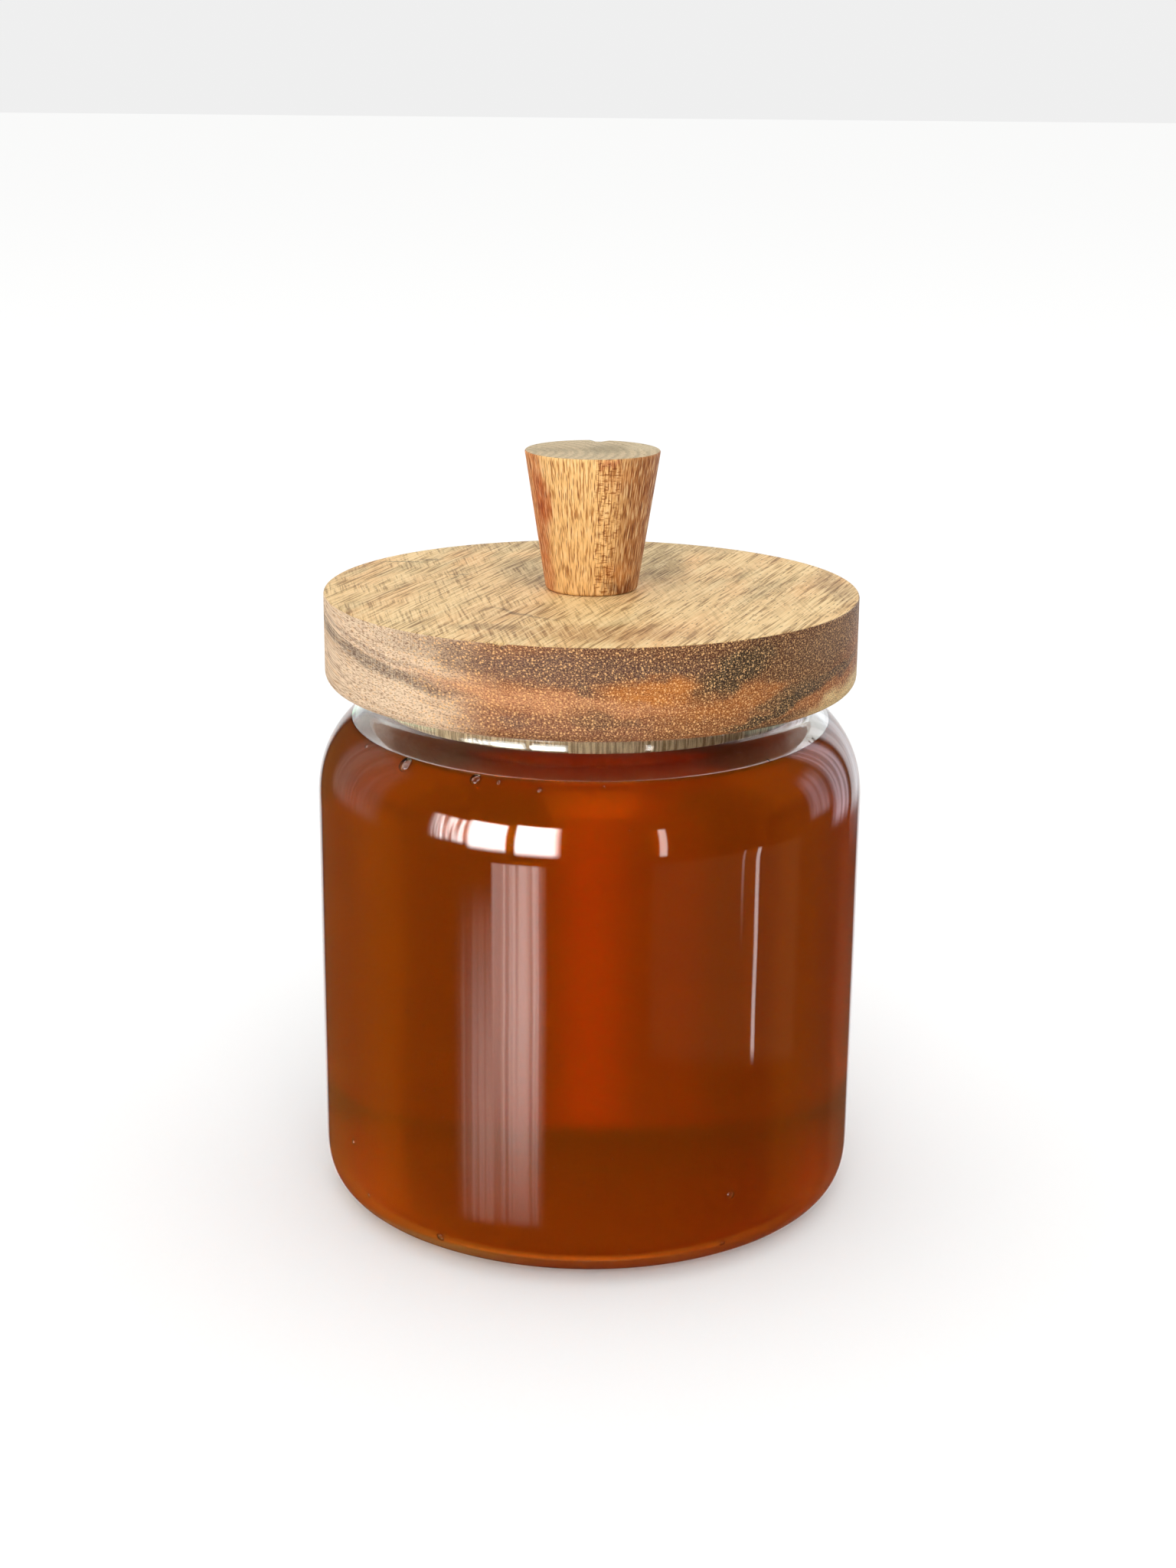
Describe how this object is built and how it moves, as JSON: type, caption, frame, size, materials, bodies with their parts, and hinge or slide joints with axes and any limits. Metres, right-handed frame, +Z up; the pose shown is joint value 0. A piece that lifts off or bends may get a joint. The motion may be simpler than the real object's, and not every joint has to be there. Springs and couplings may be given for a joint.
{
  "type": "honey jar",
  "caption": "Round clear glass jar filled with amber honey, with a thick flat wooden lid that rests in its neck and a tapered wooden knob.",
  "frame": {"origin": "middle of the foot of the jar, on the surface that it stands on", "axes": "+Z up along the jar's axis; -Y is the side that faces the viewer of the picture"},
  "size_m": [0.096, 0.096, 0.1335],
  "materials": {
    "clear_glass": "clear colourless blown glass, smooth and glossy inside and out",
    "honey": "deep amber clear honey, glossy where it is free, with a few air bubbles",
    "lid_wood": "oiled hardwood disc, streaked tan and brown, sanded flat, light open pores on the end grain",
    "knob_wood": "oiled golden brown hardwood with fine dark upright pores"
  },
  "bodies": {
    "root": {"glass_jar": "clear_glass", "honey": "honey", "lid_disc": "lid_wood", "lid_knob": "knob_wood"}
  },
  "joints": []
}
